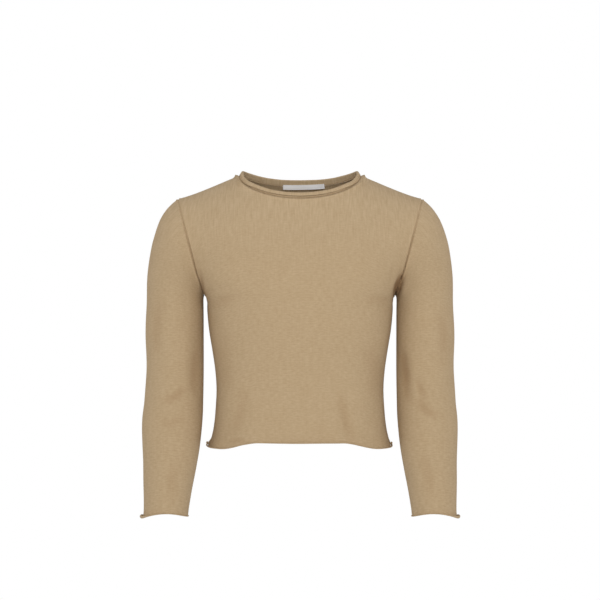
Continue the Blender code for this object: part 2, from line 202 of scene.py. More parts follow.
# Creases pressed into the cloth: their corners as x and z on the wearer's left, as seen from in
# front or from behind, then how wide, and how deep if below 0 or how high. Each list is for the
# front or back and for the wearer's left, 1, or right, -1.
Crease = namedtuple("Crease", "corners width height")
CREASE_TAPER = 0.7      # how soon a crease fades towards its ends
BANK = 0.35             # the cloth beside it goes the other way, by this share of its height
BANK_AT = 1.9           # and this many of its widths from its middle
BANK_WIDTH = 0.9
CREASE_CALM = 14        # creases fade this near to a seam, unless they cross it
PAINTED_SHADE_DEPTH = 4.0         # how deep a crease is where its painted shade is full
WAVER_SIZE = 28
WAVER_HEIGHT = 0.6
WAVER_CALM = 30
ARMPIT_CREASES = {              # these cross the armhole seam
    (FRONT, 1): (
        Crease(((158, -154), (152, -172), (147, -192)), 5, -4.0),
        Crease(((140, -150), (144, -170), (147, -190)), 6, -0.8),
    ),
    (FRONT, -1): (
        Crease(((156, -146), (151, -166), (147, -188)), 3.0, -0.9),
        Crease(((154, -160), (152, -174), (148, -192)), 2.4, -1.1),
    ),
    (BACK, 1): (
        Crease(((162, -146), (155, -168), (148, -190)), 4, -1.6),
        Crease(((128, -128), (138, -158), (147, -188)), 7, -0.9),
    ),
    (BACK, -1): (
        Crease(((160, -144), (153, -168), (147, -190)), 3.6, -1.5),
        Crease(((134, -140), (141, -164), (147, -188)), 6, -0.8),
    ),
}
BODY_CREASES = {
    (FRONT, 1): (
        Crease(((98, -198), (120, -194), (138, -200)), 9, -0.68),
        Crease(((60, -336), (68, -375), (82, -416)), 9, -1.0),          # drape to the hem
        Crease(((44, -346), (52, -380), (58, -418)), 10, 0.6),
        Crease(((102, -262), (114, -300), (112, -345)), 13, -0.75),
    ),
    (FRONT, -1): (
        Crease(((96, -190), (118, -196), (138, -206)), 9, -0.6),
        Crease(((76, -411), (94, -409), (112, -413)), 4, -1),         # above the hem's corner
        Crease(((84, -330), (92, -370), (108, -408)), 11, -0.75),
        Crease(((112, -240), (118, -290), (108, -340)), 13, -0.6),
    ),
    (BACK, 1): (
        Crease(((70, -60), (98, -84), (118, -120)), 13, -0.9),          # off the shoulder blade
        Crease(((40, -330), (54, -372), (64, -414)), 10, -1.2),
        Crease(((104, -262), (114, -305), (110, -350)), 13, -0.9),
        Crease(((30, -196), (72, -204), (112, -196)), 12, -0.6),
    ),
    (BACK, -1): (
        Crease(((78, -66), (104, -94), (122, -132)), 14, -0.9),
        Crease(((62, -340), (80, -378), (92, -416)), 11, -1.2),
        Crease(((116, -250), (112, -300), (104, -350)), 12, -0.75),
        Crease(((36, -208), (80, -200), (116, -206)), 12, -0.52),
    ),
}
SLEEVE_CREASES = {
    (FRONT, 1): (
        Crease(((158, -272), (162, -310), (167, -356)), 7, -2.3),       # in the bend of the elbow
        Crease(((172, -308), (184, -330), (198, -352)), 7, -1.4),
        Crease(((176, -340), (192, -362), (214, -372)), 8, -1.4),
        Crease(((214, -210), (222, -250), (222, -300)), 10, -0.85),
        Crease(((186, -430), (196, -460), (200, -500)), 9, -0.85),
    ),
    (FRONT, -1): (
        Crease(((160, -268), (163, -305), (164, -348)), 7, -1.4),
        Crease(((174, -325), (190, -342), (212, -350)), 8, -1.4),
        Crease(((180, -372), (196, -384), (216, -384)), 8, -0.85),
        Crease(((212, -190), (221, -235), (223, -285)), 10, -0.85),
        Crease(((190, -440), (196, -470), (196, -505)), 9, -0.68),
    ),
    (BACK, 1): (
        Crease(((168, -292), (190, -306), (216, -306)), 8, -1.5),       # over the elbow
        Crease(((172, -330), (194, -334), (218, -322)), 8, -1.4),
        Crease(((208, -200), (220, -246), (222, -280)), 10, -0.85),
    ),
    (BACK, -1): (
        Crease(((170, -284), (192, -300), (218, -298)), 8, -1.4),
        Crease(((170, -322), (196, -330), (218, -318)), 9, -1.4),
        Crease(((204, -214), (216, -250), (220, -286)), 11, -0.85),
    ),
}

# ---- Neckband and label ---------------------------------------------------------------------

BAND_RISE = 4.6         # from the seam to the start of the roll
BAND_BACK = 2.4         # how much taller it is behind
BAND_WALL = 1.3
BAND_LEDGE = 0.3        # how far its seam allowance stands out inside
BAND_ROLL = 1.3         # radius inside the roll
BAND_TIP = 1.7          # how near the rolled edge comes back to the seam
BAND_HOOK = 0.5         # radius of the edge's last turn
BAND_HOOK_TURN = 65
BAND_SIDE_ROLL = 0.6    # how much smaller the roll is beside the neck points
BAND_SIDE_TIP = 1.2     # and how much lower its edge
BAND_TURN_BACK = 25     # how far in front and behind the shoulder its height changes
BAND_LEVELS = (0.8, 1.5, 2.2, 2.9, 3.6, 4.3)
LEDGE_AT = 2.4
LEDGE_WIDTH = 0.9
ROLL_STEPS = 14
HOOK_STEPS = 5

LABEL_FROM = -27        # its two ends, across the back neck
LABEL_TO = 39
LABEL_LENGTH = LABEL_TO - LABEL_FROM
LABEL_RISE = 2.2        # above the seam
LABEL_FALL = 5.6        # below it
LABEL_TILT = 0.012
LABEL_WALL = 0.5
LABEL_CLEAR = 0.6       # from the cloth behind it
LABEL_FOLD = 2.6        # how wide its turned-in ends are
LABEL_FOLD_WALL = 0.9   # how much thicker they are, as a share
LABEL_STRIPE = 3.9
LABEL_ACROSS = 90
LABEL_UP = 24
LABEL_SEAM = 5          # the column from either end that is sewn

# A bead is one stitch of thick yarn: half its length, width and height.
OVERLOCK_BEAD = (1.45, 0.62, 0.62)
OVERLOCK_PITCH = 2.1
OVERLOCK_SLANT = 32
LABEL_BEAD = (0.62, 0.2, 0.2)
LABEL_PITCH = 1.5
LABEL_SLANT = 8
BEAD_LIFT = 0.25        # from the cloth to the bead's middle


# ---- Curves and grids -----------------------------------------------------------------------

def unit(vectors):
    return vectors / np.linalg.norm(vectors, axis=-1, keepdims=True)


def place(x, y, z):
    return np.stack(np.broadcast_arrays(x, y, z), axis=-1).astype(float)


def ease(value, low, high):
    """Rise smoothly from 0 at low to 1 at high."""
    t = np.clip((value - low) / (high - low), 0, 1)
    return t * t * (3 - 2 * t)


def read(table, column, at):
    """Read a column of a table at each level, on a smooth curve through its rows."""
    levels = np.array([row.level for row in table], float)
    values = np.array([getattr(row, column) for row in table], float)
    ahead = np.minimum(np.arange(len(table)) + 1, len(table) - 1)
    behind = np.maximum(np.arange(len(table)) - 1, 0)
    slopes = (values[ahead] - values[behind]) / (levels[ahead] - levels[behind])
    here = np.clip(np.searchsorted(levels, at) - 1, 0, len(table) - 2)
    span = levels[here + 1] - levels[here]
    t = (at - levels[here]) / span
    start = (2 * t**3 - 3 * t**2 + 1) * values[here] + (t**3 - 2 * t**2 + t) * span * slopes[here]
    end = (3 * t**2 - 2 * t**3) * values[here + 1] + (t**3 - t**2) * span * slopes[here + 1]
    return start + end


def armhole(side, angle):
    """Points of the left armhole; the angle is 0 under the arm and 180 at the shoulder."""
    ring = SLEEVE[0]
    share = (1 - np.cos(np.radians(angle))) / 2
    x = ring.inner_x + (ring.outer_x - ring.inner_x) * share
    z = ring.inner_z + (ring.outer_z - ring.inner_z) * share
    return place(x, getattr(ring, DEPTH[side]) * np.sin(np.radians(angle)), z)


def section(side, across, level):
    """Points of the front or back as its solid has them; across runs from -1 to 1."""
    depth = read(CENTRE_LINE, DEPTH[side], level)
    height = read(CENTRE_LINE, "height", level)
    upper = np.maximum(level, UNDERARM)
    half_width = read(SIDE_SEAM, "half_width", np.minimum(level, UNDERARM))
    seam = place(half_width, 0, height)
    end = np.where((level > UNDERARM)[..., None], armhole(side, upper), seam)
    met = np.maximum(level, ARMHOLE_MEETING[0].level)
    turn = np.radians(read(ARMHOLE_MEETING, "turn", met))
    fall = read(ARMHOLE_MEETING, "fall", met) * np.cos(turn)
    inward = place(-np.cos(turn), side * np.sin(turn), fall)
    handle = end + inward * read(ARMHOLE_MEETING, "reach", met)[..., None]
    centre = place(0, depth, height)
    lead = place(read(CENTRE_LINE, "reach", level) * end[..., 0], depth, height)
    t = np.abs(across)[..., None]
    curve = centre * (1 - t)**3 + lead * 3 * (1 - t)**2 * t + handle * 3 * (1 - t) * t**2 + end * t**3
    droop = ease(curve[..., 0] / end[..., 0], HEM_DIP_FROM, HEM_DIP_TO)
    low = ease(-height, -HEM_DIP_START, -CENTRE_LINE[0].height)
    curve[..., 2] -= HEM_DIP[side] * droop * low
    curve[..., 0] *= np.sign(across)
    return curve


def torso(side, across, level):
    """The same, with the rows near the underarm averaged, so that the panel bends softly there."""
    spread = UNDERARM_SPREAD * np.exp(-(level / UNDERARM_REACH)**2) * (1 - np.abs(across)**6)
    total = section(side, across, level) * 2
    for way in (-1, 1):
        total = total + section(side, across, level + way * spread)
    return total / 4


def halve(is_low, low, high):
    """Find where a test stops holding, for each of an array of ranges."""
    for _ in range(HALVINGS):
        middle = (low + high) / 2
        lower = is_low(middle)
        low = np.where(lower, middle, low)
        high = np.where(lower, high, middle)
    return low


RIDGE_LEVEL = np.array([float(RIDGE)])
NECK_ACROSS = halve(
    lambda across: torso(FRONT, across, RIDGE_LEVEL)[..., 0] < NECK_HALF_WIDTH,
    np.array([0.0]),
    np.array([1.0]),
)[0]
NECK_POINT = torso(FRONT, np.array([NECK_ACROSS]), RIDGE_LEVEL)[0]


def neckline_level(side, across):
    """The level at which each column meets the neckline."""
    def below(level):
        points = torso(side, across, level)
        width = np.minimum(np.abs(points[..., 0]) / NECK_HALF_WIDTH, 1)
        rise = 1 - (1 - width**NECK_CURVE[side])**NECK_ROUND[side]
        return points[..., 2] < NECK_HEIGHT[side] + (NECK_POINT[2] - NECK_HEIGHT[side]) * rise

    return halve(below, np.full(across.shape, float(CHEST)), np.full(across.shape, float(RIDGE)))


def spaced(length, seam_first, seam_last):
    """Fractions of a length in even steps, which grow finer towards a seam at either end."""
    fine = np.cumsum((0,) + FINE_STEPS)
    first = fine if seam_first else fine[:1]
    last = fine if seam_last else fine[:1]
    count = round((length - first[-1] - last[-1]) / STEP)
    even = np.linspace(first[-1], length - last[-1], count + 1)
    return np.concatenate((first[:-1], even, (length - last[:-1])[::-1])) / length


ROUND_ARMHOLE = RIDGE * spaced(ARMHOLE_HALF, True, True)
BELOW_ARMHOLE = HEM * (1 - spaced(-HEM, False, False))[:-1]
BELOW_COUNT = len(BELOW_ARMHOLE)
ROUND_ARM = np.concatenate((ROUND_ARMHOLE, 360 - ROUND_ARMHOLE[-2::-1]))
SHOULDER_POINT = len(ROUND_ARMHOLE) - 1         # the sleeve's column there
SHOULDER_COLUMNS = len(spaced(SHOULDER, False, True)) - 1
NECK_COLUMNS = slice(SHOULDER_COLUMNS, -SHOULDER_COLUMNS)


def panel_grid(side):
    """Where each point of the front or back lies: across, and by level, from the hem up."""
    steps = np.arange(NECK_STEPS) / NECK_STEPS
    beyond = NECK_ACROSS + (1 - NECK_ACROSS) * spaced(SHOULDER, False, True)
    even = np.concatenate((NECK_ACROSS * steps, beyond))
    bunched = np.concatenate((NECK_ACROSS * np.sin(pi / 2 * steps), beyond))
    even = np.concatenate((-even[:0:-1], even))
    bunched = np.concatenate((-bunched[:0:-1], bunched))
    levels = np.concatenate((BELOW_ARMHOLE, ROUND_ARMHOLE))[:, None]
    across = even + (bunched - even) * ease(levels, UNDERARM, CHEST)
    inside_neck = np.abs(bunched) < NECK_ACROSS - 1e-9
    top = np.where(inside_neck, neckline_level(side, bunched), RIDGE)
    return across, np.where(levels > 0, levels * top / RIDGE, levels)


def panel_wales(side, across, level):
    """The wale at each point: wales run up the panel side by side, from its middle outward."""
    steps = across[..., None] * np.linspace(0, 1, WALE_SAMPLES)
    line = section(side, steps, level[..., None])
    return np.sign(across) * np.linalg.norm(np.diff(line, axis=-2), axis=-1).sum(-1) / WALE


def sleeve_at(level, angle):
    """Points of the left sleeve; the angle is 0 under the arm, 90 in front and 180 on top."""
    turn = np.radians(angle)
    share = (1 - np.cos(turn)) / 2
    inner_x = read(SLEEVE, "inner_x", level)
    inner_z = read(SLEEVE, "inner_z", level)
    x = inner_x + (read(SLEEVE, "outer_x", level) - inner_x) * share
    z = inner_z + (read(SLEEVE, "outer_z", level) - inner_z) * share
    front = read(SLEEVE, "front", level)
    back = read(SLEEVE, "back", level)
    round_y = (front + back) / 2 - (back - front) / 2 * np.sin(turn)
    halved_y = np.where(angle <= 180, front, -back) * np.sin(turn)
    y = halved_y + (round_y - halved_y) * ease(level, 0, 1)
    rise = CUFF_RISE * ease(-z, -CUFF_RISE_START, -SLEEVE[-1].outer_z)
    z = z + rise * np.sin(turn)**2 * np.where(angle < 180, 1, CUFF_RISE_BACK)
    return place(x, y, z)


def sleeve_points():
    """The left sleeve, in rings from the cuff to the armhole; the last column repeats the first."""
    levels = [0.0]
    for upper, lower in zip(SLEEVE, SLEEVE[1:]):
        length = ((lower.outer_x - upper.outer_x)**2 + (lower.outer_z - upper.outer_z)**2)**0.5
        steps = np.cumsum(FINE_STEPS[:-1]) / length if upper.level == 0 else ()
        first = len(steps) and steps[-1]
        count = max(round(length * (1 - first) / STEP), 1)
        levels += [upper.level + step for step in steps]
        levels += list(upper.level + np.linspace(first, 1, count + 1)[1:])
    return sleeve_at(np.array(levels[::-1])[:, None], ROUND_ARM[None, :])


def arc(points, axis):
    """How far along its row or column each point of a grid lies."""
    steps = np.linalg.norm(np.diff(points, axis=axis), axis=-1)
    start = np.zeros_like(np.take(steps, [0], axis=axis))
    return np.concatenate((start, np.cumsum(steps, axis=axis)), axis=axis)


class Cloth:
    """A piece of knit: a grid of points on its outer side, with an outward way at each.

    Rows run up from the raw edge, and columns run across the body or round the arm.
    """

    def __init__(self, points, facing, closed, wales):
        self.points = points
        self.facing = facing
        self.closed = closed
        self.wales = wales
        self.courses = arc(points, 0) / COURSE
        # How much painted shade each point takes from its crease depth, set when creased
        self.painted_shades = np.zeros(points.shape[:2])
        self.face_out()

    def face_out(self):
        along = np.gradient(self.points, axis=1)
        if self.closed:
            along[:, 0] = along[:, -1] = self.points[:, 1] - self.points[:, -2]
        self.ways = unit(np.cross(along, np.gradient(self.points, axis=0))) * self.facing

    def shift(self, heights):
        """Move the cloth out or in, and find its ways again."""
        self.points = self.points + self.ways * heights[..., None]
        self.face_out()


def from_line(points, corners):
    """How far each point is from a line, and how far along the line, from 0 to 1, it lies."""
    nearest = np.full(points.shape[:-1], np.inf)
    along = np.zeros(points.shape[:-1])
    count = len(corners) - 1
    for number in range(count):
        run = corners[number + 1] - corners[number]
        share = np.clip(((points - corners[number]) @ run) / (run @ run), 0, 1)
        gap = np.linalg.norm(points - corners[number] - share[..., None] * run, axis=-1)
        along = np.where(gap < nearest, (number + share) / count, along)
        nearest = np.minimum(nearest, gap)
    return nearest, along


def crease_heights(points, side, creases):
    """The troughs and ridges of the creases on one side of the body, seen from the front."""
    flat = points[..., (0, 2)] * (side, 1)
    total = np.zeros(points.shape[:-1])
    for crease in creases:
        corners = bend(np.array(crease.corners, float))
        distance, along = from_line(flat, corners)
        near = distance / crease.width
        taper = np.sin(pi * np.clip(along, 0.02, 0.98))**CREASE_TAPER
        bank = BANK * np.exp(-((near - BANK_AT) / BANK_WIDTH)**2)
        total += crease.height * taper * (np.exp(-near**2) - bank)
    return total


def bend(corners):
    """Round a line of three corners into a smooth one."""
    t = np.linspace(0, 1, CREASE_STEPS)[:, None]
    first, middle, last = corners
    control = 2 * middle - (first + last) / 2
    return first * (1 - t)**2 + control * 2 * t * (1 - t) + last * t**2


def seam_heights(*seams):
    """Several seams on a piece, as (seam, distance, strength); where they cross they sink once."""
    sunk = 0
    raised = 0
    closest = np.inf
    for seam, distance, strength in seams:
        closest = np.minimum(closest, distance)
        sunk = np.maximum(sunk, strength * seam.groove * np.exp(-(distance / seam.width)**2))
        ridge = seam.ridge * np.exp(-((distance - seam.ridge_at) / seam.ridge_width)**2)
        raised = np.maximum(raised, strength * ridge)
    return raised * (1 - np.exp(-(closest / WELT_START)**2)) - sunk


# ---- Materials ------------------------------------------------------------------------------

class Wire:
    """An output of a shader node, on which arithmetic adds Math nodes."""

    def __init__(self, nodes, socket):
        self.nodes = nodes
        self.socket = socket

    def __add__(self, other):
        return self.nodes.maths("ADD", self, other)

    def __radd__(self, other):
        return self.nodes.maths("ADD", other, self)

    def __sub__(self, other):
        return self.nodes.maths("SUBTRACT", self, other)

    def __rsub__(self, other):
        return self.nodes.maths("SUBTRACT", other, self)

    def __mul__(self, other):
        return self.nodes.maths("MULTIPLY", self, other)

    def __rmul__(self, other):
        return self.nodes.maths("MULTIPLY", other, self)


class Nodes:
    """A node tree, and short ways to add to it."""

    def __init__(self, tree):
        self.tree = tree

    def add(self, kind, settings=None, inputs=None, output=0):
        node = self.tree.nodes.new(kind)
        for name, value in (settings or {}).items():
            setattr(node, name, value)
        for name, value in (inputs or {}).items():
            self.feed(node.inputs[name], value)
        return Wire(self, node.outputs[output])

    def feed(self, socket, value):
        if isinstance(value, Wire):
            self.tree.links.new(value.socket, socket)
        else:
            socket.default_value = value

    def maths(self, operation, *values):
        return self.add("ShaderNodeMath", {"operation": operation}, dict(enumerate(values)))

    def split(self, vector):
        """The x, y and z of a vector."""
        first = self.add("ShaderNodeSeparateXYZ", None, {0: vector})
        return [Wire(self, output) for output in first.socket.node.outputs]

    def join(self, x, y):
        return self.add("ShaderNodeCombineXYZ", None, {0: x, 1: y})

    def blend(self, share, one, other):
        """Mix two colours."""
        return self.add("ShaderNodeMix", {"data_type": "RGBA"}, {0: share, 6: one, 7: other}, 2)

    def noise(self, scale, detail, vector):
        inputs = {"Scale": scale, "Detail": detail, "Vector": vector}
        return self.add("ShaderNodeTexNoise", None, inputs)

    def bump(self, strength, distance, height):
        inputs = {"Strength": strength, "Distance": distance, "Height": height}
        return self.add("ShaderNodeBump", None, inputs)


class Finish(Nodes):
    """A material, and the nodes that feed its one shader."""

    def __init__(self, name, **constants):
        self.material = bpy.data.materials.new(name)
        self.material.use_nodes = True
        super().__init__(self.material.node_tree)
        self.shader = self.tree.nodes["Principled BSDF"]
        self.paint(**constants)

    def paint(self, **inputs):
        for socket, value in inputs.items():
            self.feed(self.shader.inputs[socket.replace("_", " ")], value)


def colour(red, green, blue):
    return (red, green, blue, 1)


CAMEL = colour(0.500, 0.363, 0.212)
CAMEL_LIGHT = colour(0.570, 0.426, 0.266)
CAMEL_DEEP = colour(0.350, 0.236, 0.122)
# A warm brown painted into the colour of deep creases, as painted shade
CAMEL_PAINTED_SHADE = colour(0.300, 0.165, 0.070)
LABEL_SHADE = colour(0.890, 0.875, 0.865)
LABEL_WHITE = colour(1.000, 0.990, 0.985)


def knit_finish():
    """Matt jersey: columns of V stitches, streaked along its rows, with a mottled yarn, and painted
    shade in deep creases.
    """
    knit = Finish("camel_jersey", Roughness=0.95, Sheen_Weight=0.04, Sheen_Roughness=0.6)
    knit.paint(Specular_IOR_Level=0.15)
    wale, course, _ = knit.split(knit.add("ShaderNodeUVMap", {"uv_map": "stitches"}))
    off_middle = knit.maths("ABSOLUTE", knit.maths("FRACT", wale) - 0.5)
    leg = knit.maths("SINE", off_middle * (2 * pi))
    strand = knit.maths("COSINE", (course - off_middle * 1.1) * (2 * pi)) * 0.5 + 0.5
    stitch = leg * (strand * 0.45 + 0.55)

    spot = knit.add("ShaderNodeTexCoord", output="Object")
    grain = knit.noise(900.0, 1.0, spot)
    mottle = knit.noise(60.0, 3.0, spot)
    # Streaks run along the courses, and up the wales as well towards the neck.
    courses = knit.noise(1.0, 2.0, knit.join(wale * 0.3, course * 0.75))
    wales = knit.noise(1.0, 1.0, knit.join(wale * 0.9, course * 0.07))
    by_neck = knit.add("ShaderNodeMapRange", None, {0: knit.split(spot)[2], 1: -0.14, 2: -0.05})
    streaks = courses * (0.8 - by_neck * 0.4) + wales * (by_neck * 0.6 + 0.2)

    yarn = knit.blend(mottle * 0.6 + streaks * 2.2 - 0.95, CAMEL, CAMEL_LIGHT)
    share = stitch * 0.65 + grain * 0.2 + streaks * 0.7 - 0.2
    cloth = knit.blend(share * 0.6 + 0.45, CAMEL_DEEP, yarn)
    # Deep creases take a warm brown by each point's crease depth: painted shade
    painted_shade = knit.add("ShaderNodeAttribute", {"attribute_name": "painted_shade"}, output="Fac")
    knit.paint(Base_Color=knit.blend(painted_shade * 0.8, cloth, CAMEL_PAINTED_SHADE))
    knit.paint(Normal=knit.bump(0.7, 0.0006, stitch * 0.7 + grain * 0.15 + streaks * 0.6))
    return knit.material


def label_finish():
    """Woven tape: fine warp and weft, with a faint sheen and lighter ends."""
    tape = Finish("label_tape", Roughness=0.6, Sheen_Weight=0.4)
    across, up, _ = tape.split(tape.add("ShaderNodeUVMap", {"uv_map": "stitches"}))
    warp = tape.maths("SINE", across * (2 * pi)) * 0.5 + 0.5
    ribs = tape.maths("SINE", up * (2 * pi)) * 0.5 + 0.5
    stripes = tape.maths("SINE", up * (2 * pi / LABEL_STRIPE)) * 0.5 + 0.5
    off_middle = tape.maths("ABSOLUTE", across - LABEL_LENGTH / 2)
    ends = tape.maths("GREATER_THAN", off_middle, LABEL_LENGTH / 2 - LABEL_FOLD)
    weave = ribs * 0.3 + warp * 0.2 + stripes * 0.5 + ends * 0.5
    tape.paint(Base_Color=tape.blend(weave, LABEL_SHADE, LABEL_WHITE))
    tape.paint(Normal=tape.bump(0.5, 0.0002, weave))
    return tape.material


# ---- Meshes ---------------------------------------------------------------------------------

def finish_piece(bm, name, material):
    mesh = bpy.data.meshes.new(name)
    bm.to_mesh(mesh)
    bm.free()
    mesh.materials.append(material)
    mesh.shade_smooth()
    piece = bpy.data.objects.new(name, mesh)
    bpy.context.collection.objects.link(piece)
    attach(piece, BODY)
    return piece


def make_wall(name, outer, inner, stitches, closed, material, painted_shades=None):
    """Lay a grid on the outer points and extrude it to the inner ones: one closed wall."""
    rows = len(outer) - 1
    columns = len(outer[0]) - 1
    bm = bmesh.new()
    row_tag = bm.verts.layers.int.new("row")
    column_tag = bm.verts.layers.int.new("column")
    # Each point's share of painted crease shade, which the jersey's colour reads
    painted_shade = bm.verts.layers.float.new("painted_shade")
    uv = bm.loops.layers.uv.new("stitches")
    bmesh.ops.create_grid(bm, x_segments=columns, y_segments=rows, size=0.5)
    for vert in bm.verts:
        vert[column_tag] = round((vert.co.x + 0.5) * columns)
        vert[row_tag] = round((vert.co.y + 0.5) * rows)
        vert.co = outer[vert[row_tag]][vert[column_tag]] * MM
        vert[painted_shade] = 0 if painted_shades is None else painted_shades[vert[row_tag]][vert[column_tag]]
    wales, courses = stitches
    for face in bm.faces:
        for loop in face.loops:
            at = (loop.vert[row_tag], loop.vert[column_tag])
            loop[uv].uv = (wales[at], courses[at])
    if closed:
        first = {vert[row_tag]: vert for vert in bm.verts if vert[column_tag] == 0}
        ends = {vert: first[vert[row_tag]] for vert in bm.verts if vert[column_tag] == columns}
        bmesh.ops.weld_verts(bm, targetmap=ends)
    made = bmesh.ops.extrude_face_region(bm, geom=bm.faces[:])
    for item in made["geom"]:
        if isinstance(item, bmesh.types.BMVert):
            item.co = inner[item[row_tag]][item[column_tag]] * MM
    bmesh.ops.recalc_face_normals(bm, faces=bm.faces)
    return finish_piece(bm, name, material)


def knit_wall(name, cloth, heights, radius, turn, material):
    """Give a piece of knit its wall, its seams and its curled raw edge with a rounded lip."""
    wales = cloth.wales
    courses = cloth.courses
    outer = cloth.points + cloth.ways * heights[..., None]
    inner = cloth.points - cloth.ways * WALL
    beyond = cloth.points[0] - cloth.points[1]
    way = cloth.ways[0]
    down = unit(beyond - way * (beyond * way).sum(-1, keepdims=True))
    start = outer[0] + way * radius[:, None]
    passed = np.radians(turn) * (radius + WALL / 2) / COURSE
    for step in range(1, CURL_STEPS + 1):
        share = step / CURL_STEPS
        angle = np.radians(turn * share)[:, None]
        arm = down * np.sin(angle) - way * np.cos(angle)
        rounded = max((share - LIP_FROM) / (1 - LIP_FROM), 0)
        middle = (1 - CURL_TIGHTER * share) * radius[:, None] + WALL / 2
        half = WALL / 2 * max(1 - rounded**2, LIP_LEAST)**0.5
        outer = np.concatenate(((start + arm * (middle - half))[None], outer))
        inner = np.concatenate(((start + arm * (middle + half))[None], inner))
        wales = np.concatenate((wales[:1], wales))
        courses = np.concatenate((courses[:1] - passed / CURL_STEPS, courses))
    # The curl carries the painted crease shade of the edge's first row
    painted_shades = np.concatenate((np.repeat(cloth.painted_shades[:1], CURL_STEPS, axis=0), cloth.painted_shades))
    return make_wall(name, outer, inner, (wales, courses), cloth.closed, material, painted_shades)


# ---- Pieces ---------------------------------------------------------------------------------

def share_ways(run, *edges):
    """Give the pieces that meet at a seam one outward way there, square to the seam."""
    total = sum(cloth.ways[index] for cloth, index in edges)
    total = unit(total - run * (total * run).sum(-1, keepdims=True))
    for cloth, index in edges:
        cloth.ways[index] = total


def sew(front, back, sleeves):
    """Make the ways of the pieces agree along every seam."""
    below = slice(None, BELOW_COUNT + 1)
    above = slice(BELOW_COUNT, None)
    in_front = slice(None, SHOULDER_POINT + 1)
    behind = slice(None, SHOULDER_POINT - 1, -1)
    for column, sleeve in ((-1, sleeves[1]), (0, sleeves[-1])):
        share_ways(ACROSS_SEAM, (front, (below, column)), (back, (below, column)))
        run = np.gradient(sleeve.points[-1], axis=0)
        run[0] = run[SHOULDER_POINT] = run[-1] = ACROSS_SEAM
        run = unit(run)
        share_ways(run[in_front], (front, (above, column)), (sleeve, (-1, in_front)))
        share_ways(run[behind], (back, (above, column)), (sleeve, (-1, behind)))
    for columns in (slice(None, NECK_COLUMNS.start + 1), slice(NECK_COLUMNS.stop - 1, None)):
        share_ways(ACROSS_SEAM, (front, (-1, columns)), (back, (-1, columns)))
    # Three pieces meet at the underarm and at the shoulder point.
    for column, sleeve in ((-1, sleeves[1]), (0, sleeves[-1])):
        for row, point in ((BELOW_COUNT, 0), (-1, SHOULDER_POINT)):
            way = unit(front.ways[row, column] + back.ways[row, column] + sleeve.ways[-1, point])
            front.ways[row, column] = back.ways[row, column] = sleeve.ways[-1, point] = way
        sleeve.ways[-1, -1] = sleeve.ways[-1, 0]


def seam_lines(cloth):
    """The lines along which a piece is sewn, by kind."""
    points = cloth.points
    if cloth.closed:
        return {"armholes": [points[-1]], "underarm": [points[:, 0]]}
    return {
        "sides": [points[:BELOW_COUNT + 1, column] for column in (0, -1)],
        "armholes": [points[BELOW_COUNT:, column] for column in (0, -1)],
        "neck": [points[-1, NECK_COLUMNS]],
        "shoulders": [points[-1, :NECK_COLUMNS.start + 1], points[-1, NECK_COLUMNS.stop - 1:]],
    }


def distances(cloth):
    """How far a piece's points are from each kind of its seams."""
    found = {}
    for kind, group in seam_lines(cloth).items():
        found[kind] = np.min([from_line(cloth.points, line)[0] for line in group], axis=0)
    return found


def waver(points, seed):
    """Slow unevenness of hanging cloth."""
    x, y, z = (points[..., axis] / WAVER_SIZE for axis in range(3))
    total = np.sin(x * 1.7 + z * 0.9 + seed) + np.sin(z * 2.1 - x * 0.6 + y * 1.3 + 2 * seed)
    total = total + np.sin(x * 3.1 - z * 1.4 + y * 2.2 + 3 * seed) * 0.5
    return total * WAVER_HEIGHT / 2.5


def press(cloth, closest):
    """The heights of a piece's creases: those that cross a seam keep their depth there."""
    middle_y = cloth.points[:, :1, 1] if cloth.closed else 0
    creases = SLEEVE_CREASES if cloth.closed else BODY_CREASES
    away = cloth.points[..., 1] - middle_y
    calm = ease(closest, 1, CREASE_CALM)
    heights = 0
    for side in (FRONT, BACK):
        for hand in (1, -1):
            here = (away * side >= 0) & (cloth.points[..., 0] * hand > 0)
            within = crease_heights(cloth.points, hand, creases[side, hand]) * calm
            across = crease_heights(cloth.points, hand, ARMPIT_CREASES[side, hand])
            heights = heights + np.where(here, within + across, 0)
    return heights * ease(np.abs(away), 0, CREASE_CALM)


def crease(cloth, seed):
    """Press a piece's creases in, over slow waves of its own."""
    closest = np.min(list(distances(cloth).values()), axis=0)
    heights = press(cloth, closest)
    # Deeper creases get more painted shade in their colour
    cloth.painted_shades = np.clip(-heights / PAINTED_SHADE_DEPTH, 0, 1)
    cloth.shift(heights + waver(cloth.points, seed) * ease(closest, 2, WAVER_CALM))


def fade(angle):
    """How strong the armhole seam is: it fades towards the underarm."""
    return ARMHOLE_FADE + (1 - ARMHOLE_FADE) * ease(angle, 14, 62)


def neck_sink(points):
    """How much deeper the neck seam lies in front of the neck points."""
    beside = ease(np.abs(points[..., 0]), NECK_SIDE, NECK_HALF_WIDTH)
    return NECK_SINK * beside * ease(-points[..., 1], -14, 14)


def flare_out(cloth, flare):
    """How far the cloth flares out towards its raw edge."""
    return flare * np.exp(-(arc(cloth.points, 0) / FLARE_REACH)**2)


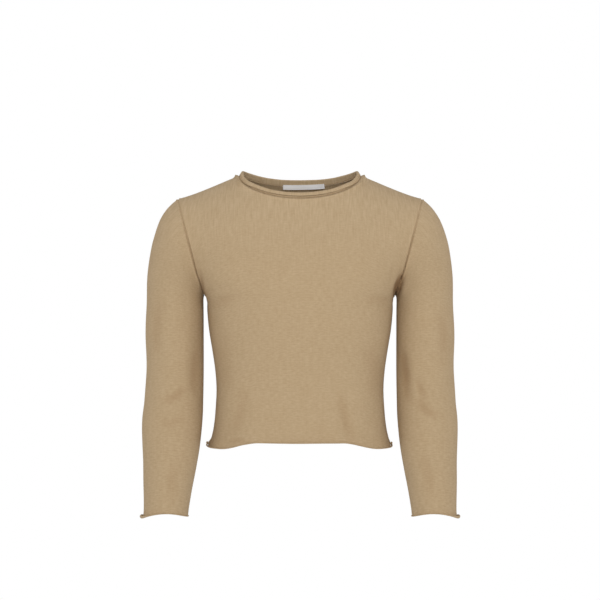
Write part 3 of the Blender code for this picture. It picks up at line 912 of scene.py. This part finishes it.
def build_panel(name, cloth, material):
    """The front or back, with its seams, and a hem whose curl tightens at the corners."""
    found = distances(cloth)
    beside = ease(np.abs(cloth.points[..., 0]), NECK_SIDE, NECK_HALF_WIDTH)
    sizes = [one + (other - one) * beside for one, other in zip(NECK_SEAM, NECK_SIDE_SEAM)]
    neck_seam = Seam(*sizes)._replace(groove=NECK_SEAM.groove + neck_sink(cloth.points))
    angles = np.concatenate((np.zeros(BELOW_COUNT), ROUND_ARMHOLE))[:, None]
    heights = seam_heights(
        (SIDE_SEAMS, found["sides"], 1),
        (ARMHOLE_BODY, found["armholes"], fade(angles)),
        (neck_seam, found["neck"], 1),
        (SHOULDER_SEAMS, found["shoulders"], 1),
    )
    row = arc(cloth.points[:1], 1)[0]
    corner = np.exp(-(np.minimum(row, row[-1] - row) / CORNER_REACH)**2)
    corner_flare = np.where(cloth.points[0, :, 0] > 0, CORNER_FLARE[1], CORNER_FLARE[-1])
    heights = heights + flare_out(cloth, HEM_FLARE + corner_flare * corner)
    uneven = 1 + 0.12 * np.sin(row / 31 + 1) + 0.08 * np.sin(row / 13)
    radius = (HEM_MIDDLE.radius + (HEM_CORNER.radius - HEM_MIDDLE.radius) * corner) * uneven
    turn = HEM_MIDDLE.turn * uneven + (HEM_CORNER.turn - HEM_MIDDLE.turn) * corner
    return knit_wall(name + "_knit", cloth, heights, radius, turn, material)


def build_sleeve(name, cloth, material):
    """A sleeve, with its seams, and a cuff that curls most at its outer end."""
    found = distances(cloth)
    heights = seam_heights(
        (ARMHOLE_SLEEVE, found["armholes"], fade(np.minimum(ROUND_ARM, 360 - ROUND_ARM)[None, :])),
        (SIDE_SEAMS, found["underarm"], 1),
    )
    heights = heights + flare_out(cloth, CUFF_FLARE)
    turned = np.radians(ROUND_ARM)
    outside = ((1 - np.cos(turned)) / 2)**12
    inside = ((1 + np.cos(turned)) / 2)**4
    curl = []
    for plain, outer, inner in zip(CUFF_PLAIN, CUFF_OUTSIDE, CUFF_INSIDE):
        uneven = plain * (1 + 0.1 * np.sin(turned * 3 + 1))
        curl.append(uneven + (outer - uneven) * outside + (inner - uneven) * inside)
    return knit_wall(name + "_knit", cloth, heights, *curl, material)


def build_knit(material):
    """The four pieces of knit: their cloth, with the creases in, and the finished meshes."""
    cloths = {}
    for name, side, facing in (("front", FRONT, 1), ("back", BACK, -1)):
        across, level = panel_grid(side)
        points = torso(side, across, level)
        cloths[name] = Cloth(points, facing, False, panel_wales(side, across, level))
    left = sleeve_points()
    along = arc(left, 1)
    wales = (along - along[:, SHOULDER_POINT:SHOULDER_POINT + 1]) / WALE
    cloths["sleeve_left"] = Cloth(left, 1, True, wales)
    cloths["sleeve_right"] = Cloth(left * (-1, 1, 1), -1, True, wales)
    sleeves = {1: cloths["sleeve_left"], -1: cloths["sleeve_right"]}

    sew(cloths["front"], cloths["back"], sleeves)
    for seed, cloth in enumerate(cloths.values(), 1):
        crease(cloth, seed)
    sew(cloths["front"], cloths["back"], sleeves)
    pieces = {}
    for name, cloth in cloths.items():
        build = build_sleeve if cloth.closed else build_panel
        pieces[name] = build(name, cloth, material)
    return cloths, pieces


# The neckline all round: its points, the cloth's way out there, the way along it, and the band's
# own way up and way out.
Neck = namedtuple("Neck", "seam ways run rise outward")


def neck_frame(front, back):
    """The neckline, anticlockwise from the front middle, with the lean of its band."""
    width = front.points.shape[1]
    low = NECK_COLUMNS.start
    high = width + NECK_COLUMNS.stop - 1
    middle = width // 2
    places = [(front, column) for column in range(middle, high + 1)]
    places += [(back, column) for column in range(high - 1, low, -1)]
    places += [(front, column) for column in range(low, middle + 1)]
    seam = np.array([cloth.points[-1, column] for cloth, column in places])
    ways = np.array([cloth.ways[-1, column] for cloth, column in places])
    run = np.gradient(seam, axis=0)
    run[0] = run[-1] = seam[1] - seam[-2]
    run = unit(run)
    plan = unit(place(run[:, 1], -run[:, 0], 0))
    to_front = np.maximum(-plan[:, 1], 0)**2
    to_back = np.maximum(plan[:, 1], 0)**2
    lean = LEAN_FRONT * to_front + LEAN_BACK * to_back + LEAN_SIDE * (1 - to_front - to_back)
    lean = np.radians(lean)
    rise = place(0, 0, np.cos(lean)) - plan * np.sin(lean)[:, None]
    outward = unit(np.cross(run, rise))
    return Neck(seam, ways, run, unit(np.cross(outward, run)), outward)


def band_section(loose, beside, taller):
    """The band's section round the neck as rows of rise and outward, for its two sides.

    It is rolled smaller and lower beside the neck points.
    """
    roll = (BAND_ROLL - BAND_SIDE_ROLL * beside) * loose
    tip = BAND_TIP / loose - BAND_SIDE_TIP * beside
    start = BAND_RISE + taller
    still = np.ones_like(loose)
    rows = []
    for rise in BAND_LEVELS:
        ledge = BAND_LEDGE * exp(-((rise - LEDGE_AT) / LEDGE_WIDTH)**2)
        rows.append(((rise * still, 0 * still), (rise * still, -(BAND_WALL + ledge) * still)))
    for step in range(ROLL_STEPS + 1):
        angle = pi * step / ROLL_STEPS
        pair = []
        for radius in (roll, roll + BAND_WALL):
            pair.append((start + radius * sin(angle), roll - radius * cos(angle)))
        rows.append(tuple(pair))
    for share in (0.35, 0.7, 1):
        rise = start + (tip - start) * share
        rows.append(((rise, 2 * roll), (rise, 2 * roll + BAND_WALL)))
    hook = 2 * roll - BAND_HOOK
    for step in range(1, HOOK_STEPS + 1):
        angle = radians(BAND_HOOK_TURN) * step / HOOK_STEPS
        pair = []
        for radius in (BAND_HOOK, BAND_HOOK + BAND_WALL):
            pair.append((tip - radius * sin(angle), hook + radius * cos(angle)))
        rows.append(tuple(pair))
    return rows


def build_neckband(neck, material):
    way = unit(neck.ways + neck.outward)
    way = unit(way - neck.run * (way * neck.run).sum(-1, keepdims=True))
    turn = np.linspace(0, 2 * pi, len(neck.seam))
    loose = 1 + 0.05 * np.sin(5 * turn + 1) + 0.04 * np.sin(11 * turn) + 0.03 * np.sin(23 * turn + 2)
    beside = ease(np.abs(neck.seam[:, 0]), NECK_SIDE, NECK_HALF_WIDTH)
    taller = BAND_BACK * ease(neck.seam[:, 1], -BAND_TURN_BACK, BAND_TURN_BACK)
    seam = neck.seam - neck.ways * neck_sink(neck.seam)[:, None]
    outer = [seam - way * NECK_SEAM.groove]
    inner = [seam - way * WALL]
    for pair in band_section(loose, beside, taller):
        for rows, (up, out) in zip((outer, inner), pair):
            rows.append(seam + neck.rise * up[:, None] + neck.outward * out[:, None])
    outer = np.array(outer)
    inner = np.array(inner)
    middle = (outer + inner) / 2
    wales = np.broadcast_to(arc(middle, 1)[:1] / WALE, middle.shape[:2])
    courses = arc(middle, 0) / COURSE
    return make_wall("neckband_roll", outer, inner, (wales, courses), True, material)


def bead_row(bm, line, ways, pitch, size, slant, keep=None):
    """A row of slanted stitches along a line, each a bead of yarn lying on the cloth."""
    length = arc(line, 0)

    def read_at(values, at):
        return np.array([np.interp(at, length, values[:, axis]) for axis in range(3)])

    for number in range(int(length[-1] / pitch)):
        at = (number + 0.5) * pitch
        spot = read_at(line, at)
        if keep and not keep(spot):
            continue
        way = Vector(read_at(ways, at)).normalized()
        run = Vector(read_at(line, at + 0.5) - spot).normalized()
        run = (run - way * run.dot(way)).normalized()
        lean = radians(slant + 7 * sin(number * 2.3))
        lie = run * cos(lean) + way.cross(run) * sin(lean)
        turn = Matrix((lie, way.cross(lie), way)).transposed().to_4x4()
        matrix = Matrix.Translation(Vector(spot) * MM) @ turn @ Matrix.Diagonal((*size, 1))
        bmesh.ops.create_icosphere(bm, subdivisions=2, radius=MM, matrix=matrix)


def build_neck_overlock(neck, material):
    """The overlocked seam inside the neck, which stops where the label covers it."""
    def uncovered(spot):
        return spot[1] < 0 or not LABEL_FROM - 1 < spot[0] < LABEL_TO + 1

    way = -unit(neck.ways + neck.outward)
    line = neck.seam + way * (WALL + BEAD_LIFT)
    bm = bmesh.new()
    bead_row(bm, line, way, OVERLOCK_PITCH, OVERLOCK_BEAD, OVERLOCK_SLANT, uncovered)
    return finish_piece(bm, "neck_overlock", material)


def label_sides(neck):
    """The points of the label's face and back, over the neck seam, with its ends turned in."""
    behind = neck.seam[:, 1] > 0
    order = np.argsort(neck.seam[behind, 0])
    x = np.linspace(LABEL_FROM, LABEL_TO, LABEL_ACROSS + 1)

    def across(values):
        known = neck.seam[behind, 0][order]
        return np.stack([np.interp(x, known, values[behind, axis][order]) for axis in range(3)], axis=-1)

    seam = across(neck.seam)
    up = across(neck.rise)
    inward = -across(neck.outward)
    from_end = np.minimum(x - LABEL_FROM, LABEL_TO - x)
    folded = 1 - ease(from_end, LABEL_FOLD - 0.5, LABEL_FOLD)
    thick = LABEL_WALL * (1 + LABEL_FOLD_WALL * folded)
    tilt = (x - (LABEL_FROM + LABEL_TO) / 2) * LABEL_TILT
    face = []
    back = []
    for level in np.linspace(-LABEL_FALL, LABEL_RISE, LABEL_UP + 1):
        clear = WALL + LABEL_CLEAR + 0.15 * np.sin(x / 6.5 + level / 3)
        point = seam + up * (level + tilt)[:, None]
        face.append(point + inward * (clear + thick)[:, None])
        back.append(point + inward * clear[:, None])
    return np.array(face), np.array(back)


def build_label(neck, material):
    """The woven label and, as a piece of its own, the stitches at its ends."""
    face, back = label_sides(neck)
    stitches = (arc(face, 1), arc(face, 0))
    label = make_wall("woven_neck_label", face, back, stitches, False, material)
    bm = bmesh.new()
    for column in (LABEL_SEAM, -LABEL_SEAM - 1):
        line = face[2:-2, column]
        way = unit(line - back[2:-2, column])
        bead_row(bm, line, way, LABEL_PITCH, LABEL_BEAD, LABEL_SLANT)
    finish_piece(bm, "label_stitching", material)
    return label


# ---- Stage ----------------------------------------------------------------------------------

CAMERA_DISTANCE = 3.5
CAMERA_HEIGHT = -0.195
FRAME_WIDTH = 0.936     # what the camera sees across, at the garment
SOFTBOX_SIZE = 2.4
SOFTBOX_POWER = 26
SOFTBOX_PLACE = (0.2, -2.8, 0.25)
SOFTBOX_AIM = (0, 0, -0.25)
HORIZON = -0.12         # where the studio is brightest, as a height on the sky
FLOOR_HEIGHT = -1.35
FLOOR_RADIUS = 4


def set_camera():
    camera = bpy.data.objects.new("camera", bpy.data.cameras.new("camera"))
    camera.location = (0, -CAMERA_DISTANCE, CAMERA_HEIGHT)
    camera.rotation_euler = (pi / 2, 0, 0)
    camera.data.lens = camera.data.sensor_width * CAMERA_DISTANCE / FRAME_WIDTH
    bpy.context.collection.objects.link(camera)
    bpy.context.scene.camera = camera
    bpy.context.scene.view_settings.view_transform = "Standard"


def set_studio():
    """White round the horizon and grey above and below, which rounds the garment."""
    world = bpy.data.worlds.new("studio")
    world.use_nodes = True
    studio = Nodes(world.node_tree)
    height = studio.split(studio.add("ShaderNodeTexCoord", output="Generated"))[2]
    from_horizon = studio.maths("ABSOLUTE", height - HORIZON)
    ramp = studio.add("ShaderNodeValToRGB", None, {0: from_horizon})
    white, grey = ramp.socket.node.color_ramp.elements
    white.position = 0.25
    white.color = colour(1, 1, 1)
    grey.position = 0.55
    grey.color = colour(0.60, 0.60, 0.60)
    studio.feed(world.node_tree.nodes["Background"].inputs["Color"], ramp)
    bpy.context.scene.world = world


def set_softbox():
    light = bpy.data.lights.new("softbox", "AREA")
    light.size = SOFTBOX_SIZE
    light.energy = SOFTBOX_POWER
    softbox = bpy.data.objects.new("softbox", light)
    softbox.location = SOFTBOX_PLACE
    towards = Vector(SOFTBOX_AIM) - softbox.location
    softbox.rotation_euler = towards.to_track_quat("-Z", "Y").to_euler()
    bpy.context.collection.objects.link(softbox)


def set_floor():
    bm = bmesh.new()
    bmesh.ops.create_circle(bm, cap_ends=True, segments=64, radius=FLOOR_RADIUS)
    bmesh.ops.translate(bm, verts=bm.verts, vec=(0, 0, FLOOR_HEIGHT))
    mesh = bpy.data.meshes.new("floor")
    bm.to_mesh(mesh)
    bm.free()
    paper = Finish("floor_paper", Roughness=0.9, Base_Color=colour(0.85, 0.85, 0.85))
    mesh.materials.append(paper.material)
    floor = bpy.data.objects.new("floor", mesh)
    bpy.context.collection.objects.link(floor)


set_camera()
set_studio()
set_softbox()
set_floor()

jersey = knit_finish()
cloths, made = build_knit(jersey)
neck = neck_frame(cloths["front"], cloths["back"])
band = build_neckband(neck, jersey)
build_neck_overlock(neck, jersey)
label = build_label(neck, label_finish())
for node, piece in made.items():
    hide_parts(node)
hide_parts("neckband")
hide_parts("neck_label")
